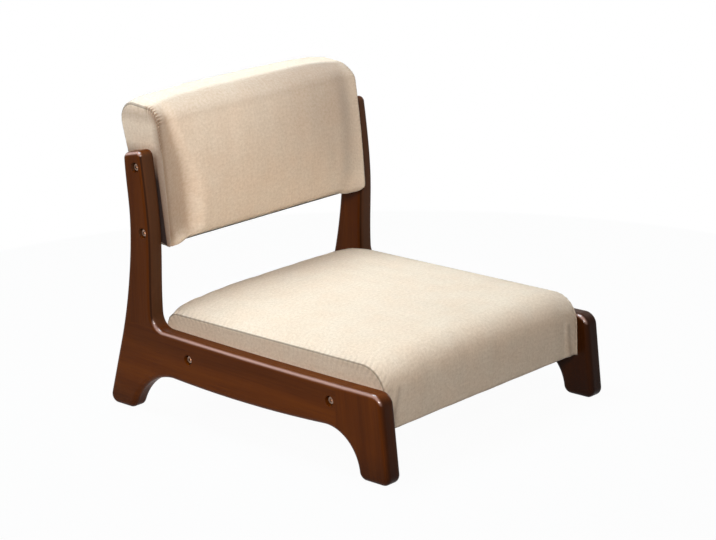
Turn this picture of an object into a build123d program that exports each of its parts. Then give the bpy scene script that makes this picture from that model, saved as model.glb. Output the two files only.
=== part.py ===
from build123d import *
from math import cos, radians, sin, tan
import os

# A low floor chair, for sitting on a mat or a rug.  Two shaped side frames of
# glued boards carry a padded seat and a padded back between them, held by
# eight recessed bolts.  It doesn't fold: taking the bolts out knocks it down.
#
# X is the width, the chair faces -Y, and Z is up from the floor.  The origin
# is on the floor, in the middle of the box round the chair.  Left and right
# are the sitter's, so right is at -X.  In the side outlines, u is the distance
# back from the toe of the front leg, and z is the height above the floor.

os.makedirs("parts", exist_ok=True)

# ---- side frames ----------------------------------------------------------
WIDTH = 480.0            # over the outer faces of the side frames
DEPTH = 558.0            # from the toe of the front leg to the heel
STOCK = 28.0             # thickness of the boards
ARRIS = 7.5              # rounding of the long edges

RAIL_UNDER = 64.5        # underside of the side rail above the floor
RAIL_HEIGHT = 63.0       # of the rail at its front end
RAIL_RISE = 6.0          # the rail's top is this much higher at the post
RAIL_DIP = 2.0           # hollow of the rail's top between its ends
RAIL_BOW = 5.0           # the rail's underside sags this much in the middle

TOE_LENGTH = 54.5        # of the front leg's sole
TOE_LEAN = 5.3           # degrees that the leg's front edge leans back
TOE_RADIUS = 13.0        # corners of the two soles
NOSE_RADIUS = 19.0       # corner where the leg runs into the rail's top
LEG_ARCH = 61.0          # radius behind the front leg
LEG_JOINT = 93.0         # glue line between leg and rail, back from the toe

HEEL_LENGTH = 50.0       # of the rear foot's sole
HEEL_LEAN = 17.5         # degrees that the rear foot's back edge leans in
HEEL_TALL = 103.0        # height of that straight edge
HEEL_ARCH = 94.0         # radius in front of the rear foot
HEEL_ARCH_RUN = 86.0     # length of that curve along the floor
ARCH_EASE = 60.0         # radius where both curves meet the rail's underside

POST_TOP = 399.0         # front corner of the post's top above the floor
POST_TOP_DROP = 8.0      # the rear corner is this much lower
POST_AHEAD = 103.5       # front edge of the post at its waist, ahead of the heel
POST_LEAN = 11.5         # the front edge at the top is this much further back
POST_BELLY = 2.5         # swelling back of the front edge below the waist
POST_TOP_DEPTH = 38.0    # front to back at the top
POST_WAIST_DEPTH = 44.0
POST_SHOULDER_DEPTH = 51.5
POST_COVE = 22.0         # radius between post and rail
POST_CORNER = 9.0        # corners of the post's top
POST_KNEE = 0.26         # share of the post's height where its front starts back
POST_MIDDLE = 0.50       # share where the front edge passes the waist
POST_UPPER = 0.74        # share where it has gone UPPER_LEAN of the way back
UPPER_LEAN = 0.3
POST_SHOULDER = 0.27     # share of the height where the post is deepest
POST_WAIST = 0.64        # share where its rear edge is hollow
JOINT_RISE = 2.5         # glue line of the post above the rail's top

# ---- seat -----------------------------------------------------------------
SEAT_FRONT = 27.0        # side seam of the front, back from the toe
SEAT_TUCK = 7.5          # the seat's rear is this far behind the post's front
SEAT_THICK = 90.5        # underside to side seam
SEAT_CROWN = 15.0        # the middle is this much higher than the seams
SEAT_SWELL = 8.0         # the front bulges this much in the middle
SEAT_HEM_SWELL = 2.0     # and this much at its lower edge
SEAT_NOSE = 40.0         # radius of the top front edge
SEAT_TAIL = 20.0         # radius of the top rear edge
SEAT_FRONT_FOAM = 16.0   # foam in front of the front batten
SEAT_REAR_FOAM = 8.0     # foam behind the rear batten
BATTEN_WIDE = 26.0       # seat battens
BATTEN_TALL = 46.0
SEAT_PLY = 9.0           # plywood on the battens

# ---- back -----------------------------------------------------------------
BACK_PROUD = 14.5        # lower front edge, ahead of the post's front
BACK_BOTTOM = 256.5      # underside above the floor
BACK_TALL = 206.0        # underside to the rear of the top
BACK_TOP_DROP = 8.0      # the top's front corner is this much lower
BACK_THICK = 48.0        # at the underside
BACK_FRONT_LEAN = 19.0   # the front face's top is this much further back
BACK_REAR_LEAN = 52.0    # the rear face's top is this much further back
BACK_BELLY = 3.0         # forward bow of the front face at the side seams
BACK_SWELL = 9.0         # the front bulges this much more in the middle
BACK_CROWN = 9.0         # the top is this much higher in the middle
BACK_BROW = 27.0         # radius of the top front edge
BACK_NAPE = 20.0         # radius of the top rear edge
BACK_FRONT_FOAM = 12.0   # foam in front of the side plates
BACK_TOP_FOAM = 31.0     # foam over the side plates
BACK_PLY = 5.0           # plywood at the rear
PLATE = 20.0             # thickness of the back's side plates
PLATE_CORNER = 10.0      # radius of their top front corner
BACK_RAIL_TALL = 34.0    # upper and lower rails of the back

# ---- padding and cloth ----------------------------------------------------
PLUMP = 4.0              # power of the fall to the seams; higher is flatter on top
COVER = 1.2              # upholstery cloth
BASE_CLOTH = 1.0         # dust cloth under seat and back

# ---- bolts, inserts and dowels --------------------------------------------
SEAT_BOLT_FRONT = 104.5  # front seat bolt, back from the toe
SEAT_BOLT_PITCH = 279.0  # to the rear seat bolt
SEAT_BOLT_RISE = 37.0    # seat bolts above the seat's underside
BACK_BOLT_SET = 14.0     # lower back bolt behind the post's front at the waist
BACK_BOLT_LEAN = 9.5     # the upper one is this much further back
BACK_BOLT_RISE = 20.0    # lower one above the back's underside
BACK_BOLT_PITCH = 96.5   # to the upper one

BOLT = 6.0               # M6 socket-head screw
BOLT_LENGTH = 35.0
HEAD = 10.0
HEAD_TALL = 6.0
SOCKET = 5.0             # across the flats
SOCKET_DEEP = 3.2
WASHER = 13.0
WASHER_THICK = 1.5
SPRING_WASHER = 11.0
SPRING_WASHER_THICK = 1.7
SPRING_GAP = 1.0         # cut through the spring washer
COUNTERBORE = 15.0
COUNTERBORE_DEEP = 13.0
INSERT = 9.6             # threaded insert
INSERT_LONG = 15.0
BOLT_PLAY = 0.5          # bolt in the wood, on the radius
THREAD_PLAY = 0.1        # bolt in insert and washers, on the radius
TIP_ROOM = 5.0           # hole past the insert

DOWEL = 8.0
DOWEL_LONG = 36.0
DOWEL_PLAY = 0.1         # on the radius
DOWEL_END = 1.0          # hole past each end of a dowel
POST_DOWEL_PITCH = 34.0
LEG_DOWEL_PITCH = 32.0   # one above the front seat bolt and one below

# ---- worked out from them -------------------------------------------------
SIDES = {"right": -1, "left": 1}
LOFT_PLACES = (-1, -0.88, -0.62, -0.25, 0.25, 0.62, 0.88, 1)
PADDING = [(x, 1 - abs(x) ** PLUMP) for x in LOFT_PLACES]
POST_SET = DEPTH - POST_AHEAD
SEAT_REAR = POST_SET + SEAT_TUCK
BACK_FRONT = POST_SET - BACK_PROUD
RAIL_FRONT_TOP = RAIL_UNDER + RAIL_HEIGHT
RAIL_REAR_TOP = RAIL_FRONT_TOP + RAIL_RISE
POST_JOINT = RAIL_REAR_TOP + JOINT_RISE
POST_LONG = POST_TOP - POST_JOINT
INNER = WIDTH / 2 - STOCK            # inner face of a side frame
CORE = INNER - COVER                 # outer face of the wooden cores
SEAT_BOTTOM = RAIL_UNDER
SEAT_CORE_FRONT = SEAT_FRONT + COVER + SEAT_FRONT_FOAM
SEAT_CORE_REAR = SEAT_REAR - COVER - SEAT_REAR_FOAM
BATTEN_BOTTOM = SEAT_BOTTOM + BASE_CLOTH
PLY_BOTTOM = BATTEN_BOTTOM + BATTEN_TALL
BACK_CORE_BOTTOM = BACK_BOTTOM + BASE_CLOTH
SEAT_BOLT_Z = SEAT_BOTTOM + SEAT_BOLT_RISE
BACK_BOLT_Z = BACK_BOTTOM + BACK_BOLT_RISE
BACK_BOLT_U = POST_SET + BACK_BOLT_SET
BOLT_SEAT = COUNTERBORE_DEEP - WASHER_THICK - SPRING_WASHER_THICK
INSERT_START = STOCK + COVER


def nip(radius, lean):
    """How far rounding a floor corner under a leaning edge cuts it back."""
    return radius * ((1 + sin(radians(lean))) / cos(radians(lean)) - 1)


def side_plane(x):
    """The plane of a side outline at width x: its own axes are u and z."""
    return Plane(origin=(x, -DEPTH / 2, 0), x_dir=(0, 1, 0), z_dir=(1, 0, 0))


def block(x0, x1, u0, u1, z0, z1):
    """A box between two widths, two places along u and two heights."""
    centre = ((x0 + x1) / 2, (u0 + u1) / 2 - DEPTH / 2, (z0 + z1) / 2)
    return Pos(*centre) * Box(x1 - x0, u1 - u0, z1 - z0)


def pin(plane, radius, start, end):
    """A cylinder along a plane's normal, between two distances from it."""
    rod = Cylinder(radius, end - start, align=(Align.CENTER, Align.CENTER, Align.MIN))
    return plane * Pos(0, 0, start) * rod


def rounded(outline, corners, radii):
    """An outline with the corner at each given point rounded."""
    for (u, z), radius in zip(corners, radii):
        corner = outline.vertices().sort_by_distance((u, z, 0))[0]
        outline = fillet(corner, radius)
    return outline


def save(node, *solids):
    shape = solids[0] if len(solids) == 1 else Compound(children=list(solids))
    export_step(shape, "parts/" + node + ".step")


# ---- side frames ----------------------------------------------------------
TOE = (-nip(TOE_RADIUS, TOE_LEAN), 0)
NOSE = (TOE[0] + tan(radians(TOE_LEAN)) * RAIL_FRONT_TOP, RAIL_FRONT_TOP)
CROTCH = (POST_SET + POST_BELLY, RAIL_REAR_TOP)
POST_FRONT_TOP = (POST_SET + POST_LEAN, POST_TOP)
POST_REAR_TOP = (POST_SET + POST_LEAN + POST_TOP_DEPTH, POST_TOP - POST_TOP_DROP)
HEEL = (DEPTH + nip(TOE_RADIUS, HEEL_LEAN), 0)
HIP = (HEEL[0] - tan(radians(HEEL_LEAN)) * HEEL_TALL, HEEL_TALL)
HEEL_FRONT = (DEPTH - HEEL_LENGTH, 0)
LEG_BACK = (TOE_LENGTH, 0)


def frame_outline():
    """The outline of one side frame, before its boards are told apart."""
    dip = ((NOSE[0] + CROTCH[0]) / 2, (NOSE[1] + CROTCH[1]) / 2 - RAIL_DIP)
    post_front = Spline(
        CROTCH,
        (POST_SET + POST_BELLY, POST_JOINT + POST_KNEE * POST_LONG),
        (POST_SET, POST_JOINT + POST_MIDDLE * POST_LONG),
        (POST_SET + UPPER_LEAN * POST_LEAN, POST_JOINT + POST_UPPER * POST_LONG),
        POST_FRONT_TOP,
    )
    post_rear = Spline(
        POST_REAR_TOP,
        (POST_SET + POST_WAIST_DEPTH, POST_JOINT + POST_WAIST * POST_LONG),
        (POST_SET + POST_SHOULDER_DEPTH, POST_JOINT + POST_SHOULDER * POST_LONG),
        HIP,
        tangents=[(0, -1), (sin(radians(HEEL_LEAN)), -cos(radians(HEEL_LEAN)))],
    )
    arch_rear = (HEEL_FRONT[0] - HEEL_ARCH_RUN, RAIL_UNDER)
    arch_front = (LEG_BACK[0] + LEG_ARCH, RAIL_UNDER)
    bow = ((arch_rear[0] + arch_front[0]) / 2, RAIL_UNDER - RAIL_BOW)
    outline = make_face([
        ThreePointArc(NOSE, dip, CROTCH),
        post_front,
        Line(POST_FRONT_TOP, POST_REAR_TOP),
        post_rear,
        Line(HIP, HEEL),
        Line(HEEL, HEEL_FRONT),
        RadiusArc(HEEL_FRONT, arch_rear, -HEEL_ARCH),
        ThreePointArc(arch_rear, bow, arch_front),
        RadiusArc(arch_front, LEG_BACK, -LEG_ARCH),
        Line(LEG_BACK, TOE),
        Line(TOE, NOSE),
    ])
    outline = rounded(outline, (NOSE, CROTCH), (NOSE_RADIUS, POST_COVE))
    outline = rounded(outline, (arch_rear, arch_front), [ARCH_EASE] * 2)
    outline = rounded(outline, (POST_FRONT_TOP, POST_REAR_TOP), [POST_CORNER] * 2)
    return rounded(outline, (HEEL, HEEL_FRONT, LEG_BACK, TOE), [TOE_RADIUS] * 4)


def frame_blank(side):
    """One side frame as a single rounded board, standing in its place."""
    x = -WIDTH / 2 if side < 0 else WIDTH / 2 - STOCK
    blank = extrude(side_plane(x) * frame_outline(), STOCK)
    faces = blank.faces().sort_by(Axis.X)
    rims = faces[0].outer_wire().edges() + faces[-1].outer_wire().edges()
    return fillet(rims, ARRIS)


def dowel_places(side):
    """Middle and direction of each dowel in one side frame."""
    x = side * (WIDTH - STOCK) / 2
    post_u = POST_SET + POST_BELLY + POST_SHOULDER_DEPTH / 2
    posts = [
        Plane(origin=(x, post_u + k * POST_DOWEL_PITCH / 2 - DEPTH / 2, POST_JOINT))
        for k in (-1, 1)
    ]
    legs = [
        Plane(
            origin=(x, LEG_JOINT - DEPTH / 2, SEAT_BOLT_Z + k * LEG_DOWEL_PITCH / 2),
            z_dir=(0, 1, 0),
        )
        for k in (-1, 1)
    ]
    return posts, legs


def bolt_places(side):
    """Planes on the outer face at the seat and back bolts, looking inward."""
    seat = [(SEAT_BOLT_FRONT + k * SEAT_BOLT_PITCH, SEAT_BOLT_Z) for k in (0, 1)]
    back = [
        (BACK_BOLT_U + k * BACK_BOLT_LEAN, BACK_BOLT_Z + k * BACK_BOLT_PITCH)
        for k in (0, 1)
    ]
    x = side * WIDTH / 2
    return [
        [
            Plane(origin=(x, u - DEPTH / 2, z), x_dir=(0, 1, 0), z_dir=(-side, 0, 0))
            for u, z in spots
        ]
        for spots in (seat, back)
    ]


def bolt_bores(places):
    """All that the bolts need cut out of what they pass through."""
    insert_end = INSERT_START + INSERT_LONG
    cuts = []
    for place in places:
        cuts.append(pin(place, COUNTERBORE / 2, -ARRIS, COUNTERBORE_DEEP))
        cuts.append(pin(place, BOLT / 2 + BOLT_PLAY, 0, insert_end + TIP_ROOM))
        cuts.append(pin(place, INSERT / 2, INSERT_START, insert_end))
    return cuts


def make_side_frame(name, side):
    """Back post, side rail with the rear foot, and front leg of one side."""
    seat_bolts, back_bolts = bolt_places(side)
    post_dowels, leg_dowels = dowel_places(side)
    reach = DOWEL_LONG / 2
    deep = reach + DOWEL_END
    bores = bolt_bores(seat_bolts + back_bolts)
    for place in post_dowels + leg_dowels:
        bores.append(pin(place, DOWEL / 2 + DOWEL_PLAY, -deep, deep))
    wood = frame_blank(side) - bores
    post_cut = Plane(origin=(0, 0, POST_JOINT))
    leg_cut = Plane(origin=(0, LEG_JOINT - DEPTH / 2, 0), z_dir=(0, 1, 0))
    below = split(wood, post_cut, keep=Keep.BOTTOM)
    save(name + "_back_post", split(wood, post_cut, keep=Keep.TOP))
    save(name + "_side_rail", split(below, leg_cut, keep=Keep.TOP))
    save(name + "_front_leg", split(below, leg_cut, keep=Keep.BOTTOM))
    posts = [pin(place, DOWEL / 2, -reach, reach) for place in post_dowels]
    legs = [pin(place, DOWEL / 2, -reach, reach) for place in leg_dowels]
    return posts, legs


# ---- padding and covers ---------------------------------------------------
def pad(section, half, inset, floor):
    """A padded block, crowned in the middle and cut flat at its floor."""
    body = loft([
        (side_plane(x * half) * section(inset, swell)).face() for x, swell in PADDING
    ])
    return split(body, Plane(origin=(0, 0, floor)), keep=Keep.TOP)


def save_cover(name, section, floor, bores):
    """The cloth round a pad: one wrapped panel, two flat sides and the floor."""
    filling = pad(section, CORE, COVER, floor)
    skin = pad(section, INNER, 0, floor) - filling
    reach = 2 * DEPTH
    save(name + "_cover", skin & block(-CORE, CORE, -reach, reach, 0, reach))
    for side_name, side in SIDES.items():
        x0, x1 = sorted((side * CORE, side * reach))
        panel = skin & block(x0, x1, -reach, reach, 0, reach)
        save(name + "_cover_" + side_name + "_side", panel - bores)
    sole = filling.faces().sort_by(Axis.Z)[0]
    save(name + "_dust_cloth", extrude(sole, BASE_CLOTH, dir=(0, 0, -1)))
    return filling


# ---- seat -----------------------------------------------------------------
def seat_section(inset, swell):
    """The seat's outline, drawn in by inset on all sides but its underside."""
    top = SEAT_BOTTOM + SEAT_THICK + SEAT_CROWN * swell - inset
    rear = SEAT_REAR - inset
    front_hem = (SEAT_FRONT + inset - SEAT_HEM_SWELL * swell, SEAT_BOTTOM)
    front_top = (SEAT_FRONT + inset - SEAT_SWELL * swell, top)
    outline = make_face(Polyline(
        front_hem, front_top, (rear, top), (rear, SEAT_BOTTOM), close=True
    ))
    corners = (front_top, (rear, top))
    return rounded(outline, corners, (SEAT_NOSE - inset, SEAT_TAIL - inset))


def make_seat():
    """Battens, plywood, foam and cover of the seat."""
    bores = bolt_bores(bolt_places(-1)[0] + bolt_places(1)[0])
    front, rear = SEAT_CORE_FRONT, SEAT_CORE_REAR
    inner = CORE - BATTEN_WIDE
    heights = (BATTEN_BOTTOM, PLY_BOTTOM)
    for name, side in SIDES.items():
        x0, x1 = sorted((side * inner, side * CORE))
        batten = block(x0, x1, front, rear, *heights)
        save("seat_" + name + "_batten", batten - bores)
    save("seat_front_batten", block(-inner, inner, front, front + BATTEN_WIDE, *heights))
    save("seat_rear_batten", block(-inner, inner, rear - BATTEN_WIDE, rear, *heights))
    ply_top = PLY_BOTTOM + SEAT_PLY
    save("seat_board", block(-CORE, CORE, front, rear, PLY_BOTTOM, ply_top))
    filling = save_cover("seat", seat_section, BATTEN_BOTTOM, bores)
    save("seat_foam", filling - block(-CORE, CORE, front, rear, BATTEN_BOTTOM, ply_top))


# ---- back -----------------------------------------------------------------
def back_corners(floor, front_in, rear_in, top_in, swell=0):
    """Corners of the back's outline above a floor, drawn in by thicknesses."""
    top = BACK_BOTTOM + BACK_TALL + BACK_CROWN * swell - top_in
    low, high = ((z - BACK_BOTTOM) / BACK_TALL for z in (floor, top))
    front = BACK_FRONT + front_in - BACK_SWELL * swell
    rear = BACK_FRONT + BACK_THICK - rear_in
    return (
        (front + BACK_FRONT_LEAN * high, top - BACK_TOP_DROP),
        (rear + BACK_REAR_LEAN * high, top),
        (rear + BACK_REAR_LEAN * low, floor),
        (front + BACK_FRONT_LEAN * low, floor),
    )


def back_outline(corners):
    """The outline through four corners, with its front edge bowed forward."""
    front_top, rear_top, rear_foot, front_foot = corners
    belly = (
        (front_foot[0] + front_top[0]) / 2 - BACK_BELLY,
        (front_foot[1] + front_top[1]) / 2,
    )
    return make_face([
        ThreePointArc(front_foot, belly, front_top),
        Line(front_top, rear_top),
        Line(rear_top, rear_foot),
        Line(rear_foot, front_foot),
    ])


def back_section(inset, swell):
    """The padded back's outline, drawn in by inset on all sides but its underside."""
    corners = back_corners(BACK_BOTTOM, inset, inset, inset, swell)
    radii = (BACK_BROW - inset, BACK_NAPE - inset)
    return rounded(back_outline(corners), corners[:2], radii)


def along(outline, x0, x1):
    """An outline pulled out between two widths."""
    return extrude(side_plane(x0) * outline, x1 - x0)


def make_back():
    """Side plates, rails, rear board, foam and cover of the back."""
    bores = bolt_bores(bolt_places(-1)[1] + bolt_places(1)[1])
    top_in = COVER + BACK_TOP_FOAM
    front_in, rear_in = COVER + BACK_FRONT_FOAM, COVER + BACK_PLY
    corners = back_corners(BACK_CORE_BOTTOM, front_in, rear_in, top_in)
    outline = rounded(back_outline(corners), corners[:1], [PLATE_CORNER])
    outer = back_corners(BACK_CORE_BOTTOM, front_in, COVER, top_in)
    board_outline = make_face(Polyline(
        corners[1], outer[1], outer[2], corners[2], close=True
    ))
    inner = CORE - PLATE
    bar = along(outline, -inner, inner)
    low, high = corners[2][1], corners[1][1]
    lower = bar & block(-WIDTH, WIDTH, 0, DEPTH, low, low + BACK_RAIL_TALL)
    upper = bar & block(-WIDTH, WIDTH, 0, DEPTH, high - BACK_RAIL_TALL, high)
    board = along(board_outline, -CORE, CORE)
    save("back_lower_rail", lower)
    save("back_upper_rail", upper)
    save("back_board", board)
    core = [lower, upper, board]
    for name, side in SIDES.items():
        plate = along(outline, *sorted((side * inner, side * CORE)))
        core.append(plate)
        save("back_" + name + "_plate", plate - bores)
    filling = save_cover("back", back_section, BACK_CORE_BOTTOM, bores)
    save("back_foam", filling - core)


# ---- bolts ----------------------------------------------------------------
def ring(place, outer, inner, start, end):
    """A washer or sleeve along a plane's normal."""
    return pin(place, outer, start, end) - pin(place, inner, start - 1, end + 1)


def socket_screw(place):
    """A socket-head screw, its head facing out of the counterbore."""
    top = BOLT_SEAT - HEAD_TALL
    head = pin(place, HEAD / 2, top, BOLT_SEAT)
    shank = pin(place, BOLT / 2, BOLT_SEAT, BOLT_SEAT + BOLT_LENGTH)
    hexagon = RegularPolygon(SOCKET / 2, 6, major_radius=False)
    socket = place * Pos(0, 0, top) * extrude(hexagon, SOCKET_DEEP)
    return head + shank - socket


def make_fasteners():
    """Screws, washers and threaded inserts at all eight bolt places."""
    seats, backs = [], []
    for side in SIDES.values():
        seat_places, back_places = bolt_places(side)
        seats += seat_places
        backs += back_places
    places = seats + backs
    bore = BOLT / 2 + THREAD_PLAY
    spring_end = BOLT_SEAT + SPRING_WASHER_THICK
    insert_end = INSERT_START + INSERT_LONG
    slit = Pos(SPRING_WASHER / 2, 0, BOLT_SEAT) * Box(SPRING_WASHER, SPRING_GAP, STOCK)
    springs = [
        ring(p, SPRING_WASHER / 2, bore, BOLT_SEAT, spring_end) - p * slit for p in places
    ]
    flats = [ring(p, WASHER / 2, bore, spring_end, COUNTERBORE_DEEP) for p in places]
    inserts = [ring(p, INSERT / 2, bore, INSERT_START, insert_end) for p in places]
    save("seat_bolts", *[socket_screw(p) for p in seats])
    save("back_bolts", *[socket_screw(p) for p in backs])
    save("spring_washers", *springs)
    save("flat_washers", *flats)
    save("threaded_inserts", *inserts)


post_dowels, leg_dowels = [], []
for side_name, side in SIDES.items():
    posts, legs = make_side_frame(side_name, side)
    post_dowels += posts
    leg_dowels += legs
save("post_dowels", *post_dowels)
save("leg_dowels", *leg_dowels)
make_seat()
make_back()
make_fasteners()
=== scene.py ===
import bpy
import numpy as np
from mathutils import Matrix


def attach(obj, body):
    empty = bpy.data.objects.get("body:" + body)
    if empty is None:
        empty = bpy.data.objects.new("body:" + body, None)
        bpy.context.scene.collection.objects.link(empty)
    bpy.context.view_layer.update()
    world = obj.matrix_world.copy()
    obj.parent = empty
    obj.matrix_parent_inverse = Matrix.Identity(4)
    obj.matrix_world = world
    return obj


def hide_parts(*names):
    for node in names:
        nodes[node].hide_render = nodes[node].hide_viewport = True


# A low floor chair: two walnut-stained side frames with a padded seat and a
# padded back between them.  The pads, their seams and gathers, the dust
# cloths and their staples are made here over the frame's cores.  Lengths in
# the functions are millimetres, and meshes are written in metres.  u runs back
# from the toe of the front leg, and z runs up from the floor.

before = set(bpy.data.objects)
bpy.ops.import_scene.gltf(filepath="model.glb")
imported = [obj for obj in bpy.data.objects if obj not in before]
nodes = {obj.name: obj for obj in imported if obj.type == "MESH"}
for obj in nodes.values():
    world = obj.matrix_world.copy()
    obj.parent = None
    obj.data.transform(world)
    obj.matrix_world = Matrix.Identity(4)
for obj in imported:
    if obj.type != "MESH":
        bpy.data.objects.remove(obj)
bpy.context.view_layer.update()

MM = 0.001
DEPTH = 558.0
HALF = 212.0            # inner face of a side frame, from the middle
SEAT_UNDER = 64.5
SEAT_FRONT, SEAT_REAR = 27.0, 462.0
SEAT_SEAM = 155.0       # height of the seat's side seams
SEAT_CROWN, SEAT_SWELL = 15.0, 8.0
SEAT_NOSE, SEAT_TAIL = 40.0, 20.0
BACK_UNDER, BACK_TALL = 256.5, 206.0
BACK_FRONT, BACK_THICK = 440.0, 48.0
BACK_FRONT_LEAN, BACK_REAR_LEAN, BACK_TOP_DROP = 19.0, 52.0, 8.0
BACK_BELLY, BACK_CROWN = 3.0, 9.0
BACK_BROW, BACK_NAPE = 27.0, 20.0
STAPLE_PITCH = 46.0


# ---- meshes ---------------------------------------------------------------
def place(points):
    """Points given as (x, u, z) in millimetres, as (x, y, z) in metres."""
    out = np.array(points, float) * MM
    out[..., 1] -= DEPTH / 2 * MM
    return out


def new_piece(name, points, faces, material, smooth=True, uv=None, marks=None):
    """A mesh object at the origin from points in metres and quads or triangles.

    uv gives one pair for each face corner, marks are values for each point,
    kept through every modifier, and the material fills the piece's one slot."""
    mesh = bpy.data.meshes.new(name)
    mesh.from_pydata(points.tolist(), [], faces)
    mesh.update()
    if uv is not None:
        mesh.uv_layers.new(name="cloth").data.foreach_set("uv", uv.ravel())
    for key, values in (marks or {}).items():
        layer = mesh.attributes.new(key, "FLOAT", "POINT")
        layer.data.foreach_set("value", np.asarray(values, np.float32))
    mesh.shade_smooth() if smooth else mesh.shade_flat()
    obj = bpy.data.objects.new(name, mesh)
    bpy.context.collection.objects.link(obj)
    mesh.materials.append(material)
    return obj


def coordinates(mesh):
    points = np.empty(len(mesh.vertices) * 3)
    mesh.vertices.foreach_get("co", points)
    return points.reshape(-1, 3)


def marks_of(mesh, key):
    values = np.empty(len(mesh.vertices), np.float32)
    mesh.attributes[key].data.foreach_get("value", values)
    return values


def corners_of(table):
    """The four entries round each cell of a table kept row by row."""
    around = [table[:-1, :-1], table[:-1, 1:], table[1:, 1:], table[1:, :-1]]
    return np.stack(around, 2).reshape(-1, 4, *table.shape[2:])


def ease(value, low, high):
    """0 below low, 1 above high, and 3t^2 - 2t^3 between them."""
    t = np.clip((value - low) / (high - low), 0, 1)
    return t * t * (3 - 2 * t)


# ---- outlines of the pads -------------------------------------------------
def shares(run):
    """A run's divisions as shares of its length: even, or finer at its start."""
    count, bias = run if isinstance(run, tuple) else (run, 1.0)
    return ((np.arange(1, count + 1) / count) ** bias)[None, :, None]


def rounded_path(corners, radii, runs, turns):
    """A path through corners, rounded, with the same number of points for all
    widths: straight runs divided evenly, and arcs of the given radii about the
    centre that lies on each corner's bisector, divided by angle."""
    pieces = [corners[0][:, None, :]]
    here = corners[0]
    for k, (radius, turn) in enumerate(zip(radii, turns), start=1):
        corner = corners[k]
        to_last = corners[k - 1] - corner
        to_next = corners[k + 1] - corner
        to_last /= np.linalg.norm(to_last, axis=1)[:, None]
        to_next /= np.linalg.norm(to_next, axis=1)[:, None]
        half_angle = np.arccos(np.clip((to_last * to_next).sum(1), -1, 1)) / 2
        reach = (radius / np.tan(half_angle))[:, None]
        enter, leave = corner + to_last * reach, corner + to_next * reach
        middle = to_last + to_next
        middle /= np.linalg.norm(middle, axis=1)[:, None]
        centre = corner + middle * (radius / np.sin(half_angle))[:, None]
        share = shares(runs[k - 1])
        pieces.append(here[:, None] + (enter - here)[:, None] * share)
        first = np.arctan2(*(enter - centre).T[::-1])
        sweep = np.arctan2(*(leave - centre).T[::-1]) - first
        sweep = (sweep + np.pi) % (2 * np.pi) - np.pi
        angle = first[:, None] + sweep[:, None] * np.arange(1, turn + 1) / turn
        ray = np.stack([np.cos(angle), np.sin(angle)], -1)
        pieces.append(centre[:, None] + ray * np.reshape(radius, (-1, 1, 1)))
        here = leave
    pieces.append(here[:, None] + (corners[-1] - here)[:, None] * shares(runs[-1]))
    return np.concatenate(pieces, axis=1)


def seat_wrap(x):
    """The seat's outline from its rear hem over the top to its front hem, for
    each width: a box with a large nose and a small tail, whose top and front
    stand out by crown and swell times 1 - |x|^p, the left seam the tighter."""
    w = 1 - np.abs(x) ** np.where(x < 0, 3.4, 6.0)
    one = np.ones_like(x)
    top = SEAT_SEAM + SEAT_CROWN * w
    turned_in = 8 * (1 - ease(HALF * (1 - np.abs(x)), 0, 30))
    rear = SEAT_REAR - turned_in
    corners = [
        np.stack([rear, SEAT_UNDER * one], 1),
        np.stack([rear, top], 1),
        np.stack([SEAT_FRONT - SEAT_SWELL * w, top], 1),
        np.stack([SEAT_FRONT + 2 * w, SEAT_UNDER * one], 1),
    ]
    radii = (SEAT_TAIL + 4 * w, SEAT_NOSE + 6 * w)
    return rounded_path(corners, radii, (11, 64, 9), (8, 13))


def valley_reach(share):
    """How wide the hollow beside the right seam is: 22 below the brow, and 46
    at the hem."""
    return 22 + 24 * (1 - ease(share, 0.30, 0.95))


def seam_valley(x, share):
    """The hollow beside each seam of the back's front: it falls from the seam
    as t (1.3 - 0.3 t^2), is deepest at reach, and rises again to the plump
    middle.  reach grows down from the brow, and the right rise is steeper."""
    inward = (HALF * (1 - np.abs(x)))[:, None]
    right = (x < 0)[:, None]
    low = 1 - ease(share, 0.30, 0.95)
    reach = np.where(right, valley_reach(share), 26)
    rise = np.where(right, 0.50, 1.6) * reach
    along = np.clip(inward / reach, 0, 1)
    fall = along * (1.3 - 0.3 * along**2)
    right_depth = (8.0 + 11.0 * low) * (0.78 + 0.22 * ease(share, 0.1, 0.4))
    depth = np.where(right, right_depth, 5.5)
    return depth * fall * (1 - ease(inward, 1.02 * reach, 1.02 * reach + rise))


def quarter_round(inward, radius):
    """How far a quarter round falls away at a distance d from its edge:
    r - sqrt(r^2 - (r - d)^2), and 0 from d = r on."""
    inward = np.clip(inward, 0, radius)
    return radius - np.sqrt(radius**2 - (radius - inward) ** 2)


def rolled_edge(x):
    """How far the back's left edge rolls away from the front beside its seam."""
    return quarter_round(HALF * (1 - x), 8.0)


def hanging_corner(x):
    """How much the back's hem sags beside its ends: on the left a hump of the
    distance from the seam, with the corner itself a quarter round of radius
    12, and on the right a short flat end."""
    inward = HALF * (1 - np.abs(x))
    corner = quarter_round(inward, 12.0)
    left = 5.0 * ease(inward, 0, 20) * (1 - ease(inward, 36, 62)) - corner
    right = 2.6 * (1 - ease(inward, 18, 44)) - 1.2 * (1 - ease(inward, 0, 5))
    return np.where(x > 0, left, right)


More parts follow.
